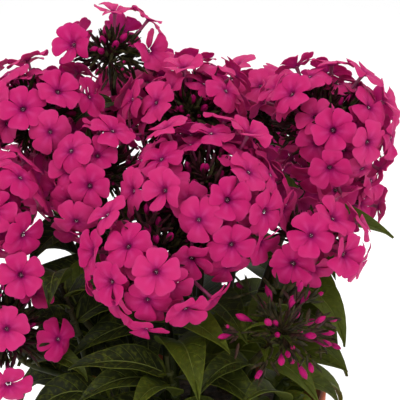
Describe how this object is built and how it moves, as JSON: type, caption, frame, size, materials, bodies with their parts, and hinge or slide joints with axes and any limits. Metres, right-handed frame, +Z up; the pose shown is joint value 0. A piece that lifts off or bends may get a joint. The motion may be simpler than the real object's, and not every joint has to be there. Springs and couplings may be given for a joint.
{
  "type": "garden phlox plant in a pot",
  "caption": "Bushy perennial in a tapered nursery pot: leafy upright stems with opposite pointed leaves, each topped by a domed head of flat-faced magenta flowers.",
  "frame": {"origin": "the middle of the pot's flat underside", "axes": "+Z up along the pot's axis; the plant's front, with its nearest and lowest flower heads, faces -Y; +X is to the right as seen from the front"},
  "size_m": [0.2808, 0.2299, 0.3606],
  "materials": {
    "pot_plastic": "satin",
    "potting_soil": "matte",
    "foliage": "satin",
    "petals": "matte"
  },
  "bodies": {
    "root": {"pot": "pot_plastic", "soil": "potting_soil", "stem_a": "foliage", "stem_b": "foliage", "stem_c": "foliage", "stem_d": "foliage", "stem_e": "foliage", "stem_f": "foliage", "stem_g": "foliage", "stem_h": "foliage", "stem_i": "foliage", "stem_j": "foliage", "stem_k": "foliage", "stem_l": "foliage", "stem_m": "foliage", "stem_n": "foliage", "stem_o": "foliage", "stem_q": "foliage", "stem_r": "foliage", "stem_s": "foliage", "stem_t": "foliage", "stem_u": "foliage", "stem_v": "foliage", "stem_w": "foliage", "stem_x": "foliage", "head_a": "petals", "head_b": "petals", "head_c": "petals", "head_d": "petals", "head_e": "petals", "head_f": "petals", "head_g": "petals", "head_h": "petals", "head_i": "petals", "head_j": "petals", "head_k": "petals", "head_l": "petals", "head_m": "petals", "head_n": "petals", "head_o": "petals"}
  },
  "joints": []
}
